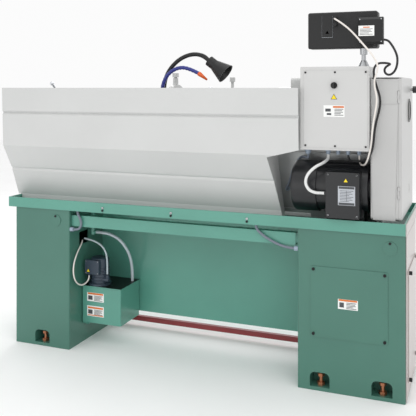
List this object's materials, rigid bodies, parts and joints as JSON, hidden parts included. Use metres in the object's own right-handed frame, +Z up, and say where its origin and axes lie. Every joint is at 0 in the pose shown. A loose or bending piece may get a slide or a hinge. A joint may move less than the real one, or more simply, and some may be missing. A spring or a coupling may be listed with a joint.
{
  "type": "engine lathe",
  "caption": "Floor-standing engine lathe on a two-pedestal stand with chip tray, rear splash guard, control cabinet, readout, work lamp and coolant set.",
  "frame": {"origin": "centre of the four floor anchor holes, on the floor plane", "axes": "+X along the spindle towards the tailstock, +Y to the rear, +Z up"},
  "size_m": [1.911, 0.6194, 1.551],
  "materials": {
    "stand_green": "semi-gloss machine enamel",
    "panel_green": "semi-gloss machine enamel",
    "end_pale": "semi-gloss enamel",
    "light_grey": "semi-gloss enamel",
    "cabinet_white": "fine powder coat",
    "end_grey": "semi-gloss enamel",
    "motor_black": "satin black enamel",
    "pump_blue": "satin enamel",
    "brake_red": "semi-gloss enamel",
    "bed_iron": "ground ways, painted sides",
    "steel": "machined",
    "chrome": "polished",
    "copper_steel": "dull copper plate",
    "black_screws": "black oxide",
    "black_plastic": "fine moulded grain",
    "belt_rubber": "matt",
    "cable_white": "satin sheath",
    "conduit_grey": "satin corrugated sheath",
    "conduit_white": "satin corrugated sheath",
    "cable_black": "satin sheath",
    "hose_clear": "milky clear vinyl",
    "gland_grey": "moulded nylon",
    "hose_blue": "moulded segments"
  },
  "bodies": {
    "root": {"headstock_pedestal": "stand_green", "tailstock_pedestal": "stand_green", "pedestal_covers": "stand_green", "end_panel": "end_pale", "levelling_screws": "copper_steel", "chip_tray": "panel_green", "rear_rail": "panel_green", "middle_panel": "panel_green", "bed": "bed_iron", "headstock_casting": "light_grey", "feed_gearbox": "light_grey", "end_housing": "end_grey", "motor_body": "motor_black", "junction_box": "motor_black", "drive_belts": "belt_rubber", "steady_rest": "light_grey", "splash_guard": "light_grey", "cabinet": "cabinet_white", "cabinet_cover": "cabinet_white", "cable_glands": "gland_grey", "readout_pole": "steel", "coolant_tank": "panel_green", "coolant_pump": "pump_blue", "cover_screws": "black_screws", "motor_conduit": "conduit_white", "headstock_conduit": "conduit_grey", "readout_cable": "cable_white", "readout_power_cable": "cable_black", "pump_cable": "cable_white", "coolant_feed_hose": "hose_clear", "coolant_return_hose": "hose_clear", "tray_conduit_left": "conduit_grey", "tray_conduit_right": "conduit_grey"},
    "spindle_unit": {"spindle": "steel", "chuck": "steel"},
    "motor_rotor": {"motor_pulley": "steel"},
    "lead_screw_shaft": {"lead_screw": "steel"},
    "feed_rod_shaft": {"feed_rod": "steel"},
    "control_shaft": {"control_rod": "steel"},
    "speed_selector": {"speed_lever": "chrome"},
    "end_door_leaf": {"end_door": "end_grey"},
    "carriage": {"saddle": "light_grey", "apron": "light_grey", "follow_rest": "light_grey", "work_lamp": "black_plastic", "coolant_arm": "hose_blue"},
    "apron_wheel": {"apron_handwheel": "chrome"},
    "half_nut": {"half_nut_lever": "chrome"},
    "cross_unit": {"cross_slide": "steel"},
    "cross_wheel": {"cross_handwheel": "chrome"},
    "compound_unit": {"compound_slide": "steel"},
    "turret": {"tool_post": "steel"},
    "turret_clamp": {"tool_post_handle": "chrome"},
    "tailstock": {"tailstock_body": "light_grey"},
    "quill": {"tailstock_quill": "steel"},
    "tail_wheel": {"tailstock_handwheel": "chrome"},
    "quill_clamp": {"quill_lock_lever": "chrome"},
    "switch_knob": {"master_switch": "black_plastic"},
    "readout": {"readout_housing": "black_plastic"},
    "brake_pedal": {"foot_brake": "brake_red"}
  },
  "joints": [
    {"name": "spindle_spin", "type": "hinge", "parent": "root", "child": "spindle_unit", "pos_m": [-0.6, -0.08, 1.143], "axis": [1, 0, 0], "continuous": true},
    {"name": "motor_spin", "type": "hinge", "parent": "root", "child": "motor_rotor", "pos_m": [-0.83, 0.114, 0.828], "axis": [1, 0, 0], "continuous": true},
    {"name": "lead_screw_spin", "type": "hinge", "parent": "root", "child": "lead_screw_shaft", "pos_m": [0.2, -0.222, 0.88], "axis": [1, 0, 0], "continuous": true},
    {"name": "feed_rod_spin", "type": "hinge", "parent": "root", "child": "feed_rod_shaft", "pos_m": [0.2, -0.222, 0.845], "axis": [1, 0, 0], "continuous": true},
    {"name": "control_lever_turn", "type": "hinge", "parent": "root", "child": "control_shaft", "pos_m": [-0.43, -0.222, 0.81], "axis": [1, 0, 0], "range_deg": [-15, 15]},
    {"name": "speed_lever_turn", "type": "hinge", "parent": "root", "child": "speed_selector", "pos_m": [-0.6, -0.25, 1.19], "axis": [0, 1, 0], "range_deg": [-35, 35]},
    {"name": "end_door_swing", "type": "hinge", "parent": "root", "child": "end_door_leaf", "pos_m": [-0.8932, 0.1905, 1], "axis": [0, 0, -1], "range_deg": [0, 110]},
    {"name": "apron_wheel_turn", "type": "hinge", "parent": "carriage", "child": "apron_wheel", "pos_m": [-0.11, -0.3, 0.868], "axis": [0, 1, 0], "range_deg": [-2165, 185]},
    {"name": "carriage_travel", "type": "slide", "parent": "root", "child": "carriage", "axis": [1, 0, 0], "range_m": [-0.12, 0.01]},
    {"name": "half_nut_turn", "type": "hinge", "parent": "carriage", "child": "half_nut", "pos_m": [0.06, -0.27, 0.868], "axis": [0, 1, 0], "range_deg": [0, 35]},
    {"name": "cross_wheel_turn", "type": "hinge", "parent": "carriage", "child": "cross_wheel", "pos_m": [-0.01, -0.3, 0.984], "axis": [0, 1, 0], "range_deg": [-2165, 4325]},
    {"name": "cross_travel", "type": "slide", "parent": "carriage", "child": "cross_unit", "axis": [0, 1, 0], "range_m": [-0.03, 0.06]},
    {"name": "compound_travel", "type": "slide", "parent": "cross_unit", "child": "compound_unit", "axis": [1, 0, 0], "range_m": [-0.01, 0.03]},
    {"name": "turret_index", "type": "hinge", "parent": "compound_unit", "child": "turret", "pos_m": [-0.01, -0.09, 1.1], "axis": [0, 0, 1], "range_deg": [0, 270]},
    {"name": "turret_clamp_turn", "type": "hinge", "parent": "turret", "child": "turret_clamp", "pos_m": [-0.01, -0.09, 1.15], "axis": [0, 0, 1], "range_deg": [0, 90]},
    {"name": "tailstock_travel", "type": "slide", "parent": "root", "child": "tailstock", "axis": [1, 0, 0], "range_m": [-0.45, 0]},
    {"name": "tail_wheel_turn", "type": "hinge", "parent": "tailstock", "child": "tail_wheel", "pos_m": [0.94, -0.08, 1.143], "axis": [1, 0, 0], "range_deg": [-7205, 5]},
    {"name": "quill_travel", "type": "slide", "parent": "tailstock", "child": "quill", "axis": [1, 0, 0], "range_m": [-0.08, 0]},
    {"name": "quill_clamp_turn", "type": "hinge", "parent": "tailstock", "child": "quill_clamp", "pos_m": [0.873, -0.08, 1.21], "axis": [0, 0, 1], "range_deg": [0, 60]},
    {"name": "master_switch_turn", "type": "hinge", "parent": "root", "child": "switch_knob", "pos_m": [-0.644, 0.23, 1.25], "axis": [0, 1, 0], "range_deg": [0, 90]},
    {"name": "readout_swivel", "type": "hinge", "parent": "root", "child": "readout", "pos_m": [-0.751, 0.15, 1.45], "axis": [0, 0, 1], "range_deg": [-20, 20], "deforming": ["readout_cable", "readout_power_cable"]},
    {"name": "foot_brake_press", "type": "hinge", "parent": "root", "child": "brake_pedal", "pos_m": [0.06, -0.15, 0.112], "axis": [1, 0, 0], "range_deg": [0, 10], "stiffness_Nm_per_rad": 16, "springref_deg": -28.65}
  ],
  "couplings": [
    {"joint": "motor_spin", "follows": "spindle_spin", "ratio": 1.7778},
    {"joint": "lead_screw_spin", "follows": "spindle_spin", "ratio": 0.25},
    {"joint": "feed_rod_spin", "follows": "spindle_spin", "ratio": 0.1},
    {"joint": "apron_wheel_turn", "follows": "carriage_travel", "rad_per_m": 314.16},
    {"joint": "cross_wheel_turn", "follows": "cross_travel", "rad_per_m": 1256.6},
    {"joint": "tail_wheel_turn", "follows": "quill_travel", "rad_per_m": 1570.8}
  ]
}
